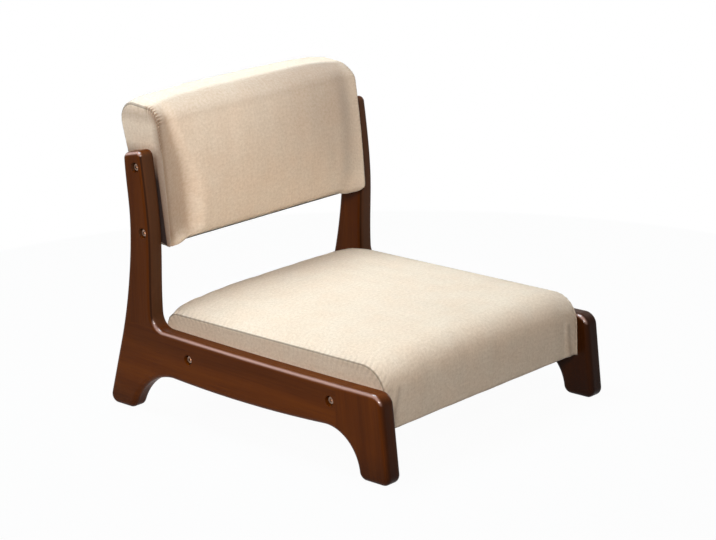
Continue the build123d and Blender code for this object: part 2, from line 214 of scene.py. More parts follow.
def back_wrap(x):
    """The back's outline from its rear hem over the top to its front hem: a
    wedge with a rounded brow and nape, bowed forward most in the middle, whose
    front hem is tucked under between the two lower corners."""
    w = 1 - np.abs(x) ** 4
    inward = HALF * (1 - np.abs(x))
    one = np.ones_like(x)
    top = BACK_UNDER + BACK_TALL + BACK_CROWN * w
    high = (top - BACK_UNDER) / BACK_TALL
    rear = BACK_FRONT + BACK_THICK
    hem = 2.0 + 10.0 * ease(inward, np.where(x > 0, 0.0, 14.0), np.where(x > 0, 26.0, 44.0))
    hem_height = BACK_UNDER + 1.5 * w - hanging_corner(x)
    corners = [
        np.stack([rear * one, BACK_UNDER * one], 1),
        np.stack([rear + BACK_REAR_LEAN * high, top], 1),
        np.stack([BACK_FRONT + BACK_FRONT_LEAN * high - 3 * w, top - BACK_TOP_DROP], 1),
        np.stack([BACK_FRONT * one, hem_height], 1),
        np.stack([BACK_FRONT + hem + 2.0, hem_height], 1),
    ]
    path = rounded_path(
        corners, (BACK_NAPE + 2 * w, BACK_BROW + 3 * w, hem), (26, 4, (34, 1.5), 1),
        (14, 30, 6),
    )
    share = np.clip((path[..., 1] - BACK_UNDER) / BACK_TALL, 0, 1)
    depth = (rear + BACK_REAR_LEAN * share - path[..., 0]) / BACK_THICK
    plump = BACK_BELLY + np.where(x < 0, 13 * (1 - np.abs(x) ** 3), 10 * w + 3 * (1 - x**3))
    bow = plump[:, None] * 4 * share * (1 - share)
    bow = bow - seam_valley(x, share) * ease(share, 0.0, 0.12) - rolled_edge(x)[:, None]
    path[..., 0] -= bow * np.clip(depth, 0, 1)
    return path


def close_underside(path, count):
    """The straight underside from the front hem back to the rear hem."""
    share = np.arange(1, count)[None, :, None] / count
    first, last = path[:, -1:], path[:, :1]
    return np.concatenate([path, first + (last - first) * share], axis=1)


def widths(fine, coarse):
    """Widths from -1 to 1, close together beside the two seams."""
    edge = np.cumsum(fine) / HALF
    middle = np.linspace(-1 + edge[-1], 1 - edge[-1], coarse)
    return np.concatenate([[-1], -1 + edge[:-1], middle, 1 - edge[:-1][::-1], [1]])


def pad_mesh(wrap, floor_count, caps, top_pull):
    """One closed form: outlines at all widths, and both ends filled.

    The ends are ruled between the wrap's path and the underside's path, with
    caps rows, and bulge nowhere, since they lie against the side frames.
    top_pull draws the right end in above the post by that many millimetres,
    and the left one two and a half times as far."""
    x = widths((1.2, 1.3, 1.6, 2.2, 3.0, 4.0), 74)
    path = wrap(x)
    loop = close_underside(path, floor_count)
    count = path.shape[1]
    rows, around = loop.shape[:2]
    grid = np.empty((rows, around, 3))
    grid[..., 0] = x[:, None] * HALF
    grid[..., 1:] = loop
    run = np.zeros((rows, count))
    run[:, 1:] = np.cumsum(np.linalg.norm(np.diff(path, axis=1), axis=2), axis=1)
    under_run = run[:, -1:] + np.linalg.norm(loop[:, count:] - path[:, -1:], axis=2)
    v = np.concatenate([run, under_run], axis=1)
    index = np.arange(rows * around).reshape(rows, around)
    wrapped = np.concatenate([index, index[:, :1]], axis=1)
    cloth_grid = np.stack([grid[..., 0], v], -1)
    wrapped_cloth = np.concatenate([cloth_grid, cloth_grid[:, :1]], axis=1)
    wrapped_cloth[:, -1, 1] = v[:, -1] + 5
    faces = corners_of(wrapped)[:, ::-1].tolist()
    uv = [corners_of(wrapped_cloth)[:, ::-1].reshape(-1, 2)]
    points = [grid.reshape(-1, 3)]
    seam = [np.minimum(HALF - np.abs(grid[..., 0]), 99).ravel()]
    along = [v.ravel()]
    base = rows * around
    for row, side in ((0, -1), (rows - 1, 1)):
        upper = index[row, :count]
        lower = np.concatenate([[upper[0]], index[row, count:][::-1], [upper[-1]]])
        pick = np.linspace(0, len(lower) - 1, count)
        low_points = np.stack([
            np.interp(pick, np.arange(len(lower)), points[0][lower][:, k]) for k in range(3)
        ], 1)
        high_points = points[0][upper]
        span = np.linalg.norm(high_points - low_points, axis=1)
        share = np.linspace(0, 1, caps + 1)[1:-1]
        inner = high_points[None] + (low_points - high_points)[None] * share[:, None, None]
        points.append(inner.reshape(-1, 3))
        seam.append(-(span[None] * share[:, None]).ravel())
        along.append(np.repeat(v[row, :count][None], len(share), 0).ravel())
        inner_ids = np.arange(len(share) * count).reshape(len(share), count) + base
        base += inner_ids.size
        cap = corners_of(np.concatenate([upper[None], inner_ids]))[:, ::-side]
        met = lower[np.round(pick).astype(int)]
        strip = np.stack([inner_ids[-1, :-1], inner_ids[-1, 1:], met[1:], met[:-1]], 1)
        strip = [list(dict.fromkeys(face)) for face in strip[:, ::-side].tolist()]
        end_faces = cap.tolist() + strip
        faces += end_faces
        uv.append(np.concatenate(points)[np.concatenate(end_faces)][:, 1:])
    points = np.concatenate(points)
    if top_pull:
        above_post = ease(points[:, 2], 429, 461)
        edge = ease(np.abs(points[:, 0]), HALF - 60, HALF)
        pull = np.where(points[:, 0] < 0, top_pull, 2.5 * top_pull)
        points[:, 0] -= np.sign(points[:, 0]) * pull * above_post * edge
    return {
        "points": points,
        "faces": faces,
        "uv": np.concatenate(uv) * MM,
        "seam": np.concatenate(seam),
        "along": np.concatenate(along),
    }


# ---- materials ------------------------------------------------------------
def group(name, inputs, outputs):
    """An empty shader group with named sockets."""
    tree = bpy.data.node_groups.new(name, "ShaderNodeTree")
    kinds = {"f": "NodeSocketFloat", "c": "NodeSocketColor", "v": "NodeSocketVector"}
    for label, kind, default in inputs:
        socket = tree.interface.new_socket(label, in_out="INPUT", socket_type=kinds[kind])
        if default is not None:
            socket.default_value = default
    for label, kind in outputs:
        tree.interface.new_socket(label, in_out="OUTPUT", socket_type=kinds[kind])
    start = tree.nodes.new("NodeGroupInput")
    end = tree.nodes.new("NodeGroupOutput")
    return tree, start.outputs, end.inputs


def add(tree, kind, **values):
    """A node with its properties, and its sockets set or linked by name."""
    node = tree.nodes.new("ShaderNode" + kind)
    for key in [k for k in values if hasattr(node, k)]:
        setattr(node, key, values.pop(key))
    for key, value in values.items():
        name = key.replace("_", " ")
        socket = node.inputs[int(name[1:])] if name[1:].isdigit() else node.inputs[name]
        if isinstance(value, bpy.types.NodeSocket):
            tree.links.new(value, socket)
        else:
            socket.default_value = value
    return node


def calc(tree, operation, a, b=0.0, c=0.0, clamp=False):
    """One Math node's value."""
    node = add(tree, "Math", operation=operation, use_clamp=clamp, i0=a, i1=b, i2=c)
    return node.outputs[0]


def times(tree, first, *others):
    """The product of two or more values."""
    for other in others:
        first = calc(tree, "MULTIPLY", first, other)
    return first


def without(tree, share):
    """What a share leaves: 1 - share."""
    return calc(tree, "SUBTRACT", 1.0, share)


def either(tree, a, b):
    """Two shares laid over each other: 1 - (1 - a)(1 - b)."""
    return without(tree, times(tree, without(tree, a), without(tree, b)))


def blend_colour(tree, factor, a, b, kind="MIX"):
    """Colour a turned towards b by factor."""
    node = add(tree, "Mix", data_type="RGBA", blend_type=kind)
    for index, value in ((0, factor), (6, a), (7, b)):
        socket = node.inputs[index]
        if isinstance(value, bpy.types.NodeSocket):
            tree.links.new(value, socket)
        else:
            socket.default_value = value
    return node.outputs[2]


def ramp(tree, factor, low, high):
    """A value stretched so that low becomes 0 and high becomes 1."""
    return add(tree, "MapRange", Value=factor, From_Min=low, From_Max=high).outputs[0]


def grain_group():
    """Board grain along Z: bands bent by noise, pores and long streaks."""
    tree, given, out = group(
        "board grain",
        [("Vector", "v", None), ("Dark", "c", (0.02, 0.01, 0.01, 1)),
         ("Light", "c", (0.2, 0.1, 0.05, 1)), ("Bands", "f", 22.0), ("Shift", "f", 0.0)],
        [("Color", "c"), ("Height", "f")],
    )
    moved = add(tree, "VectorMath", operation="ADD", i0=given["Vector"], i1=given["Shift"])
    long = add(tree, "Mapping", Vector=moved.outputs[0], Scale=(1, 1, 0.09))
    bend = add(tree, "TexNoise", Vector=long.outputs[0], Scale=10.0, Detail=3.0)
    bands = add(tree, "TexWave", bands_direction="DIAGONAL", Vector=long.outputs[0],
                Scale=given["Bands"], Distortion=7.0, Detail=2.0, Detail_Scale=1.6)
    thin = add(tree, "Mapping", Vector=moved.outputs[0], Scale=(1, 1, 0.025))
    streak = add(tree, "TexNoise", Vector=thin.outputs[0], Scale=330.0, Detail=4.0,
                 Roughness=0.65)
    pores = add(tree, "TexNoise", Vector=thin.outputs[0], Scale=900.0, Detail=1.0)
    pore = ramp(tree, pores.outputs[0], 0.60, 0.70)
    streaks = times(tree, streak.outputs[0], 0.6)
    mix = calc(tree, "MULTIPLY_ADD", bands.outputs["Fac"], 0.22, streaks)
    mix = calc(tree, "ADD", mix, bend.outputs[0])
    share = ramp(tree, mix, 0.45, 1.40)
    colour = blend_colour(tree, share, given["Dark"], given["Light"])
    dark = blend_colour(tree, times(tree, pore, 0.45), colour, given["Dark"])
    tree.links.new(dark, out["Color"])
    tree.links.new(calc(tree, "SUBTRACT", streak.outputs[0], pore), out["Height"])
    return tree


def arris_group():
    """Where the boards' rounded edges turn away from their flat faces: 1 at
    45 degrees, 0 on the faces, from the normal's share along X.  Upper keeps
    only the edges that look up, for a painted highlight and a thicker coat,
    Crest their middle line, for a painted highlight line, Front is 1 where a
    board's edge faces forwards, for painted shade or sheen, and Line the
    middle line of the arrises beside such an edge, for painted shade."""
    tree, given, out = group(
        "arris", [("Normal", "v", None)],
        [("Upper", "f"), ("Crest", "f"), ("Front", "f"), ("Line", "f")])
    parts = add(tree, "SeparateXYZ", Vector=given["Normal"])
    side = calc(tree, "ABSOLUTE", parts.outputs[0])
    square = times(tree, side, side)
    rest = without(tree, square)
    turned = times(tree, square, rest)
    mask = ramp(tree, turned, 0.04, 0.20)
    upward = ramp(tree, parts.outputs[2], 0.20, 0.48)
    tree.links.new(times(tree, mask, upward), out["Upper"])
    crest = ramp(tree, turned, 0.16, 0.25)
    tree.links.new(times(tree, crest, upward), out["Crest"])
    tree.links.new(ramp(tree, parts.outputs[1], -0.45, -0.95), out["Front"])
    narrow = ramp(tree, turned, 0.18, 0.245)
    forward = ramp(tree, parts.outputs[1], -0.35, -0.60)
    tree.links.new(times(tree, narrow, forward), out["Line"])
    return tree


def wear_group():
    """Handling marks and settled dust: a soft mask of large and small noise."""
    tree, given, out = group(
        "handling", [("Vector", "v", None), ("Size", "f", 14.0)], [("Mask", "f"), ("Fine", "f")]
    )
    large = add(tree, "TexNoise", Vector=given["Vector"], Scale=given["Size"], Detail=5.0,
                Roughness=0.7)
    small = add(tree, "TexNoise", Vector=given["Vector"], Scale=420.0, Detail=2.0)
    tree.links.new(ramp(tree, large.outputs[0], 0.42, 0.66), out["Mask"])
    tree.links.new(small.outputs[0], out["Fine"])
    return tree


def weave_group():
    """Plain weave: two sets of threads as half sine waves, and a checker that
    says which passes over, with slubs as noise drawn out along each thread."""
    tree, given, out = group(
        "plain weave",
        [("Vector", "v", None), ("Pitch", "f", 0.0011), ("Slub", "f", 1.0)],
        [("Height", "f"), ("Tone", "f"), ("Mottle", "f")],
    )
    scale = calc(tree, "DIVIDE", 1.0, given["Pitch"])
    threads = add(tree, "VectorMath", operation="SCALE", i0=given["Vector"])
    tree.links.new(scale, threads.inputs["Scale"])
    parts = add(tree, "SeparateXYZ", Vector=threads.outputs[0])
    waves = []
    for k in (0, 1):
        angle = times(tree, parts.outputs[k], np.pi)
        waves.append(calc(tree, "ABSOLUTE", calc(tree, "SINE", angle)))
    whole = calc(tree, "ADD", calc(tree, "FLOOR", parts.outputs[0]),
                 calc(tree, "FLOOR", parts.outputs[1]))
    over = calc(tree, "PINGPONG", whole, 1.0)
    warp = times(tree, waves[0], over)
    weft = times(tree, waves[1], without(tree, over))
    height = calc(tree, "ADD", warp, weft)
    tones = []
    for stretch in ((1, 0.06, 1), (0.06, 1, 1)):
        line = add(tree, "Mapping", Vector=given["Vector"], Scale=stretch)
        noise = add(tree, "TexNoise", Vector=line.outputs[0], Scale=380.0, Detail=3.0)
        tones.append(noise.outputs[0])
    tone = calc(tree, "ADD", tones[0], tones[1])
    tone = times(tree, calc(tree, "SUBTRACT", tone, 1.0), given["Slub"])
    mottle = add(tree, "TexNoise", Vector=given["Vector"], Scale=230.0, Detail=5.0,
                 Roughness=0.75)
    tree.links.new(calc(tree, "ADD", height, tone), out["Height"])
    tree.links.new(tone, out["Tone"])
    tree.links.new(mottle.outputs[0], out["Mottle"])
    return tree


# Two lines on the back's side panels, each as y at the height z, its slope, and
# z, in metres: where the posts cover them, and their front seam, which turns
# round the brow in an arc about a point at ARC_HEIGHT.
POST_LINE, SEAM_LINE = (0.1680, 0.125, 0.256), (0.1610, 0.0922, 0.2565)
SEAM_ARC, ARC_HEIGHT = 0.027, 0.4298


def panel_shade_group():
    """Painted shade on the back.  On its side panels Soft grows over 12 mm in
    front of POST_LINE, over 14 mm beside the front seam, and in a fold below
    the brow.  On its front it grows towards +X and lies along the brow.  Deep
    lies behind POST_LINE and ends below the posts' tops.  Seam is below 0 on
    the panels."""
    tree, given, out = group(
        "shade on side panels", [("Vector", "v", None), ("Seam", "f", 0.0)],
        [("Soft", "f"), ("Deep", "f")],
    )
    x, y, z = add(tree, "SeparateXYZ", Vector=given["Vector"]).outputs
    start, slope, low = POST_LINE
    behind = calc(tree, "MULTIPLY_ADD", z, -slope, slope * low - start)
    behind = calc(tree, "ADD", y, behind)
    beside_post = times(tree, ramp(tree, behind, -0.012, 0.0), 0.80,
                        ramp(tree, z, 0.403, 0.383))
    deep_shade = times(tree, ramp(tree, behind, -0.0010, 0.0008), ramp(tree, z, 0.380, 0.350))
    start, slope, low = SEAM_LINE
    centre = calc(tree, "MULTIPLY_ADD", z, slope, start - slope * low + SEAM_ARC)
    ahead = calc(tree, "MAXIMUM", calc(tree, "SUBTRACT", centre, y), 0.0)
    above = calc(tree, "MAXIMUM", calc(tree, "SUBTRACT", z, ARC_HEIGHT), 0.0)
    squares = calc(tree, "ADD", times(tree, ahead, ahead), times(tree, above, above))
    beside_seam = times(tree, ramp(tree, calc(tree, "SQRT", squares), 0.013, SEAM_ARC), 0.54,
                        ramp(tree, ahead, 0.0, 0.012))
    fold = times(tree, ramp(tree, z, 0.429, 0.441), ramp(tree, z, 0.455, 0.443), 0.28)
    on_panel = times(tree, ramp(tree, given["Seam"], -0.3, -2.0), ramp(tree, z, 0.24, 0.25))
    far = times(tree, ramp(tree, x, -0.07, 0.10), ramp(tree, z, 0.28, 0.40),
                ramp(tree, x, 0.207, 0.180), 0.27)
    brow = times(tree, ramp(tree, z, 0.430, 0.459), ramp(tree, z, 0.478, 0.463), 0.33)
    front = times(tree, either(tree, far, brow), ramp(tree, ahead, 0.0, 0.010),
                  without(tree, on_panel))
    panels = either(tree, either(tree, beside_post, beside_seam), fold)
    soft = calc(tree, "ADD", times(tree, panels, on_panel), front)
    tree.links.new(soft, out["Soft"])
    tree.links.new(times(tree, deep_shade, on_panel), out["Deep"])
    return tree


GRAIN, ARRIS, HANDLING, WEAVE = grain_group(), arris_group(), wear_group(), weave_group()
PANEL_SHADE = panel_shade_group()


def place_group(tree, shared, **values):
    """A shared group's outputs, its inputs set or linked by name."""
    node = tree.nodes.new("ShaderNodeGroup")
    node.node_tree = shared
    for key, value in values.items():
        if isinstance(value, bpy.types.NodeSocket):
            tree.links.new(value, node.inputs[key])
        else:
            node.inputs[key].default_value = value
    return node.outputs


def new_material(name, **sockets):
    """A material with one Principled shader and its constants set on it."""
    material = bpy.data.materials.new(name)
    material.use_nodes = True
    tree = material.node_tree
    shader = tree.nodes["Principled BSDF"]
    for key, value in sockets.items():
        shader.inputs[key.replace("_", " ")].default_value = value
    return material, tree, shader


def bump(tree, shader, height, distance, strength):
    node = add(tree, "Bump", Height=height, Distance=distance, Strength=strength)
    tree.links.new(node.outputs[0], shader.inputs["Normal"])


WOOD_DARK, WOOD_LIGHT = (0.058, 0.0105, 0.0004), (0.150, 0.036, 0.0018)
# Painted shade and painted sheen for the boards, then a painted highlight mixed with worn stain
# for upward arrises, and a painted highlight for their crest.
PAINTED_WOOD_SHADE, PAINTED_WOOD_SHEEN = (0.010, 0.003, 0.001, 1), (0.056, 0.034, 0.021, 1)
WORN_AND_HIGHLIT_ARRIS, PAINTED_CREST_HIGHLIGHT = (0.36, 0.180, 0.130, 1), (0.58, 0.35, 0.29, 1)


def stained_wood(name, turn, shift, tone, front, front_colour, line, upper):
    """Walnut-stained board under semi-gloss lacquer, its grain turned along
    the board.  Upward arrises are paler, a painted highlight mixed with worn
    stain, with a painted highlight along their crest.  Painted shade darkens
    the sole and, by the shares line and upper, the arrises beside forward
    edges and the band just below a rail's top.  Edges that face forwards
    turn to front_colour by the share front, which is painted shade on the legs
    and a painted sheen on the posts.  tone says how strongly the board shows,
    and the lower tone of the left boards is painted shade."""
    dark, light = (tuple(tone * v for v in c) + (1,) for c in (WOOD_DARK, WOOD_LIGHT))
    material, tree, shader = new_material(
        name, Coat_Roughness=0.20, Specular_IOR_Level=0.04
    )
    coords = add(tree, "TexCoord").outputs
    turned = add(tree, "Mapping", Vector=coords["Object"], Rotation=turn)
    grain = place_group(tree, GRAIN, Vector=turned.outputs[0], Dark=dark, Light=light,
                        Bands=14.0, Shift=shift)
    edge = place_group(tree, ARRIS, Normal=coords["Normal"])
    marks = place_group(tree, HANDLING, Vector=coords["Object"], Size=16.0)
    height = add(tree, "SeparateXYZ", Vector=coords["Object"]).outputs[2]
    # Forward faces turn to front_colour: painted shade on the legs, painted sheen on the posts.
    ground = blend_colour(tree, times(tree, edge["Front"], front), grain["Color"],
                          front_colour)
    # Painted shade: darker near the floor, on the arris line beside forward edges and just
    # below a rail's top.
    shaded = times(tree, ramp(tree, height, 0.045, -0.01), 0.55)
    shaded = calc(tree, "MAXIMUM", shaded, times(tree, edge["Line"], line))
    below_top = times(tree, ramp(tree, height, 0.085, 0.110), upper)
    shaded = calc(tree, "MAXIMUM", shaded, below_top)
    ground = blend_colour(tree, shaded, ground, PAINTED_WOOD_SHADE)
    # Painted highlight on the upward arrises, broken up by the handling noise as worn stain,
    # and a painted highlight along their crest.
    worn_and_highlit = times(tree, edge["Upper"], ramp(tree, marks["Mask"], -0.6, 1.6))
    colour = blend_colour(tree, times(tree, worn_and_highlit, 0.45), ground, WORN_AND_HIGHLIT_ARRIS)
    colour = blend_colour(tree, times(tree, edge["Crest"], 0.48), colour,
                          PAINTED_CREST_HIGHLIGHT)
    coat = calc(tree, "MULTIPLY_ADD", edge["Upper"], 0.85, 0.05)
    tree.links.new(coat, shader.inputs["Coat Weight"])
    tree.links.new(colour, shader.inputs["Base Color"])
    rough = calc(tree, "MULTIPLY_ADD", marks["Mask"], 0.10, 0.34)
    tree.links.new(rough, shader.inputs["Roughness"])
    bump(tree, shader, grain["Height"], 0.00012, 0.5)
    return material


def raw_wood(name, dark, light, turn, bands):
    """Bare timber or plywood inside the pads."""
    material, tree, shader = new_material(name, Roughness=0.75)
    coords = add(tree, "TexCoord").outputs
    turned = add(tree, "Mapping", Vector=coords["Object"], Rotation=turn)
    grain = place_group(tree, GRAIN, Vector=turned.outputs[0], Dark=dark, Light=light,
                        Bands=bands, Shift=0.3)
    marks = place_group(tree, HANDLING, Vector=coords["Object"], Size=22.0)
    colour = blend_colour(tree, times(tree, marks["Mask"], 0.2), grain["Color"], dark)
    tree.links.new(colour, shader.inputs["Base Color"])
    bump(tree, shader, grain["Height"], 0.0002, 0.6)
    return material


CLOTH, CLOTH_SHADE = (0.83, 0.705, 0.57, 1), (0.60, 0.472, 0.350, 1)
# Colours of painted shade: in creases, and soft and deep on the back.
PAINTED_CREASE_SHADE = (0.19, 0.09, 0.035, 1)
PAINTED_SOFT_SHADE, PAINTED_DEEP_SHADE = (0.12, 0.04, 0.01, 1), (0.016, 0.003, 0.0, 1)


def cloth_material(name, base, shade, pitch, coordinate, rough, sewn=False):
    """Plain-woven cloth: heathered tone, thread relief with painted shade
    between the threads, a little sheen, and where it is sewn, painted shade
    along the seam, in the troughs of gathers and folds, beside the back's
    right front seam and over parts of the back."""
    material, tree, shader = new_material(
        name, Roughness=rough, Sheen_Weight=0.10, Sheen_Roughness=0.5,
        Specular_IOR_Level=0.2
    )
    coords = add(tree, "TexCoord").outputs
    weave = place_group(tree, WEAVE, Vector=coords[coordinate], Pitch=pitch, Slub=1.0)
    marks = place_group(tree, HANDLING, Vector=coords["Object"], Size=9.0)
    heather = calc(tree, "MULTIPLY_ADD", weave["Tone"], 0.5, 0.27)
    patch = times(tree, ramp(tree, weave["Mottle"], 0.36, 0.64), 0.52)
    share = calc(tree, "ADD", heather, patch)
    # Painted shade between the threads.
    gap = times(tree, without(tree, weave["Height"]), 0.22)
    share = calc(tree, "ADD", share, gap, clamp=True)
    share = calc(tree, "ADD", share, times(tree, marks["Mask"], 0.10), clamp=True)
    colour = blend_colour(tree, share, base, shade)
    blotch = add(tree, "TexNoise", Vector=coords["Object"], Scale=26.0, Detail=2.0)
    blotch = ramp(tree, blotch.outputs[0], 0.35, 0.65)
    colour = blend_colour(tree, times(tree, blotch, 0.5), colour,
                          (1.0, 0.94, 0.90, 1), "MULTIPLY")
    if sewn:
        seam = add(tree, "Attribute", attribute_name="seam").outputs["Fac"]
        # Painted shade in the seam's groove, as a dark line.
        line = ramp(tree, calc(tree, "ABSOLUTE", seam), 1.05, 0.30)
        deep_shade = tuple(0.30 * v for v in shade[:3]) + (1,)
        colour = blend_colour(tree, times(tree, line, 0.72), colour, deep_shade)
        # Painted shade in creases and beside the back's right front seam.
        crease_shade = add(tree, "Attribute", attribute_name="crease_shade").outputs["Fac"]
        colour = blend_colour(tree, times(tree, crease_shade, 0.80), colour, PAINTED_CREASE_SHADE)
        # Painted shade on the back, soft and deep.
        panel = place_group(tree, PANEL_SHADE, Vector=coords["Object"], Seam=seam)
        colour = blend_colour(tree, panel["Soft"], colour, PAINTED_SOFT_SHADE)
        colour = blend_colour(tree, panel["Deep"], colour, PAINTED_DEEP_SHADE)
    tree.links.new(colour, shader.inputs["Base Color"])
    bump(tree, shader, weave["Height"], 0.00025, 0.6)
    return material


def plated_metal(name, base, rough):
    """Plated or turned metal with fine brushing and dull spots."""
    material, tree, shader = new_material(name, Metallic=1.0)
    coords = add(tree, "TexCoord").outputs
    marks = place_group(tree, HANDLING, Vector=coords["Object"], Size=260.0)
    dull = tuple(0.55 * v for v in base[:3]) + (1,)
    colour = blend_colour(tree, times(tree, marks["Mask"], 0.5), base, dull)
    tree.links.new(colour, shader.inputs["Base Color"])
    dulled = calc(tree, "MULTIPLY_ADD", marks["Mask"], 0.2, rough)
    tree.links.new(dulled, shader.inputs["Roughness"])
    bump(tree, shader, marks["Fine"], 0.00005, 0.4)
    return material


QUARTER_TURN = np.pi / 2
cloth = cloth_material("beige cloth", CLOTH, CLOTH_SHADE, 0.0011, "UV", 0.85, sewn=True)
black_cloth = cloth_material("black dust cloth", (0.022, 0.021, 0.020, 1),
                             (0.010, 0.010, 0.010, 1), 0.0006, "Object", 0.95)
steel = plated_metal("zinc-plated steel", (0.36, 0.25, 0.19, 1), 0.25)
brass = plated_metal("turned brass", (0.60, 0.47, 0.25, 1), 0.30)
softwood = raw_wood("pine", (0.46, 0.29, 0.14, 1), (0.72, 0.53, 0.33, 1),
                    (0, QUARTER_TURN, 0), 30)
plywood = raw_wood("plywood", (0.48, 0.31, 0.17, 1), (0.68, 0.49, 0.30, 1),
                   (QUARTER_TURN, 0, 0), 12)

# For each board: turn and shift of its grain, tone, front, front_colour, line
# and upper, as stained_wood takes them.
# The left boards' lower tones are painted shade; front, line and upper place painted shade, and
# on the posts front places a painted sheen.
BOARDS = {
    "right_back_post": ((0, 0, 0), 0.11, 0.72, 0.50, PAINTED_WOOD_SHEEN, 0.72, 0.0),
    "left_back_post": ((0, 0, 0), 0.47, 0.60, 0.50, PAINTED_WOOD_SHEEN, 0.72, 0.0),
    "right_side_rail": ((QUARTER_TURN - 0.02, 0, 0), 0.83, 1.06, 0.0, PAINTED_WOOD_SHADE, 0.0, 0.25),
    "left_side_rail": ((QUARTER_TURN - 0.02, 0, 0), 1.31, 0.70, 0.0, PAINTED_WOOD_SHADE, 0.0, 0.25),
    "right_front_leg": ((0.10, 0, 0), 1.73, 0.98, 0.66, PAINTED_WOOD_SHADE, 0.0, 0.0),
    "left_front_leg": ((0.10, 0, 0), 2.19, 0.30, 0.50, PAINTED_WOOD_SHADE, 0.0, 0.0),
}
finishes = {
    name: stained_wood("walnut stain on " + name.replace("_", " "), *values)
    for name, values in BOARDS.items()
}
for name, node in nodes.items():
    if name in finishes:
        finish = finishes[name]
    elif name.endswith("_board"):
        finish = plywood
    elif name.endswith("_inserts"):
        finish = brass
    elif name.endswith(("_bolts", "_washers")):
        finish = steel
    elif name.endswith("_dust_cloth"):
        finish = black_cloth
    elif "cover" in name or name.endswith("_foam"):
        finish = cloth
    else:
        finish = softwood
    for entry in node.material_slots:
        entry.material = finish


# ---- the two pads ---------------------------------------------------------
def subdivided(obj):
    """Make one level of subdivision part of the piece's mesh."""
    modifier = obj.modifiers.new("smooth", "SUBSURF")
    modifier.levels = modifier.render_levels = 1
    modifier.boundary_smooth = "ALL"
    graph = bpy.context.evaluated_depsgraph_get()
    mesh = bpy.data.meshes.new_from_object(obj.evaluated_get(graph))
    obj.modifiers.clear()
    old = obj.data
    obj.data = mesh
    bpy.data.meshes.remove(old)
    mesh.name = obj.name


def normals_of(mesh):
    out = np.empty(len(mesh.vertices) * 3)
    mesh.vertex_normals.foreach_get("vector", out)
    return out.reshape(-1, 3)


def undulation(points, size, height, seed):
    """Soft unevenness: six sine waves of about one length, each in its own
    direction and phase, added up."""
    chance = np.random.default_rng(seed)
    waves = chance.normal(size=(6, 3))
    waves *= (2 * np.pi / size) / np.linalg.norm(waves, axis=1)[:, None]
    waves *= chance.uniform(0.6, 1.5, (6, 1))
    phase = chance.uniform(0, 2 * np.pi, 6)
    return height * np.sin(points @ waves.T + phase).sum(1) / 6


def crease(points, line, height, width):
    """How far the cloth sinks by a fold along a line of points, which stands
    out by height, falling off with the distance from the line as
    exp(-(d / width)^2), between two low hollows."""
    nearest = np.full(len(points), 1e9)
    for a, b in zip(line[:-1], line[1:]):
        a, b = np.array(a, float), np.array(b, float)
        t = np.clip((points - a) @ (b - a) / ((b - a) @ (b - a)), 0, 1)
        away = points - a - t[:, None] * (b - a)
        nearest = np.minimum(nearest, np.linalg.norm(away, axis=1))
    inner = np.exp(-((nearest / width) ** 2))
    return height * (0.45 * np.exp(-(((nearest - 2 * width) / width) ** 2)) - inner)


def sew(obj, gather, creases, hollow):
    """Raise the seam's welt, sink the cloth beside it, and shape the gathers
    and folds, all along the surface's normal, which still points inwards, and
    mark on each point the painted shade in their troughs.  The underside
    keeps flat.  Where hollow is set, painted shade lies beside the right front
    seam too."""
    mesh = obj.data
    points, inward = coordinates(mesh), normals_of(mesh)
    off, along = marks_of(mesh, "seam"), marks_of(mesh, "along")
    side = np.abs(off)
    sink = 0.55 * np.exp(-(((side - 2.6) / 1.3) ** 2)) - 0.9 * np.exp(-((side / 0.8) ** 2))
    pleats = gather(along, off, points)
    sink = sink + pleats
    body = points / MM + np.array((0, DEPTH / 2, 0))
    uneven = undulation(body, 55, 0.9, 3) * (1 - ease(inward[:, 2], 0.6, 0.9))
    sink = sink + uneven * ease(off, 2, 25)
    # Painted shade in the troughs of the gathers and folds.
    crease_shade = np.clip(-pleats / 0.5, 0, 1)
    for line, height, width in creases:
        fold = crease(body, line, height, width)
        sink = sink + fold
        crease_shade = np.maximum(crease_shade, np.clip(-fold / 2.2, 0, 1))
    # Painted shade beside the back's right front seam: in its hollow, and next to the seam.
    if hollow:
        share = (body[:, 2] - BACK_UNDER) / BACK_TALL
        reach = valley_reach(share)
        beside = ease(off, 0.5, 3.0) * (1 - ease(off, 0.9 * reach, 1.35 * reach))
        beside = 0.57 * beside * ease(share, 0.0, 0.1)
        low = 1 - ease(share, 0.0, 0.16)
        near = (0.34 + 0.36 * low) * ease(off, 0.0, 1.0)
        near = near * (1 - ease(off, 1.0, 14.0 + 6.0 * low))
        beside = (beside + near) * (1 - ease(share, 0.85, 1.0)) * (body[:, 0] < 0)
        crease_shade = np.maximum(crease_shade, beside)
    mesh.attributes.new("crease_shade", "FLOAT", "POINT").data.foreach_set(
        "value", crease_shade.astype(np.float32))
    mesh.vertices.foreach_set("co", (points + inward * (sink * MM)[:, None]).ravel())
    mesh.flip_normals()
    mesh.update()


def make_pad(name, wrap, floor_count, caps, top_pull, replaced, gather, creases,
             hollow=False):
    """A pad from its outline: its mesh, made finer and then sewn."""
    form = pad_mesh(wrap, floor_count, caps, top_pull)
    obj = new_piece(name, place(form["points"]), form["faces"], cloth,
                    uv=form["uv"], marks={"seam": form["seam"], "along": form["along"]})
    subdivided(obj)
    sew(obj, gather, creases, hollow)
    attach(obj, "root")
    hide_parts(*replaced)


def seat_gather(along, off, _points):
    """Shallow puckers where the top panel is eased onto the side panels."""
    uneven = np.sin(along / 61.0) * 0.4 + 0.6
    return 0.22 * uneven * np.sin(along * 2 * np.pi / 9.5) * np.exp(-np.abs(off) / 9)


